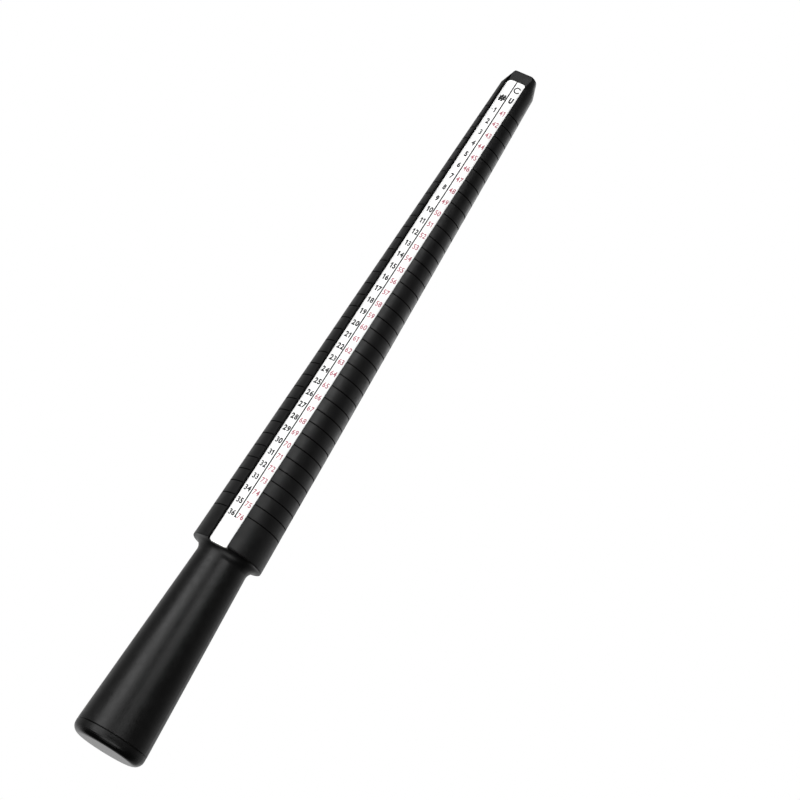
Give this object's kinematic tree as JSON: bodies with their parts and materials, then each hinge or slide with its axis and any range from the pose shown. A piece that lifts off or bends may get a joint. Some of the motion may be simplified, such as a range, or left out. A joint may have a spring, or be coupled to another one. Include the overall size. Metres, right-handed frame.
{
  "type": "ring sizer stick",
  "caption": "Tapered ring-sizing mandrel with engraved size lines, recessed scale strips and a flared hand grip closed by a pull-off end cap.",
  "frame": {"origin": "centre of the end cap's flat face, where the stick stands", "axes": "+Z along the stick towards its tip, -Y out of the front scale strip"},
  "size_m": [0.025, 0.025, 0.2631],
  "materials": {
    "barrel_black": "satin black moulded plastic with a fine grain",
    "grip_black": "satin black moulded plastic with a fine grain",
    "strip_white": "smooth white printed vinyl"
  },
  "bodies": {
    "stick": {"barrel": "barrel_black", "handle": "grip_black", "front_scale_strip": "strip_white", "back_scale_strip": "strip_white"},
    "end_cap": {"end_cap": "grip_black"}
  },
  "joints": [
    {"name": "end_cap_pull", "type": "slide", "parent": "stick", "child": "end_cap", "axis": [0, 0, -1], "range_m": [0, 0.01]}
  ]
}
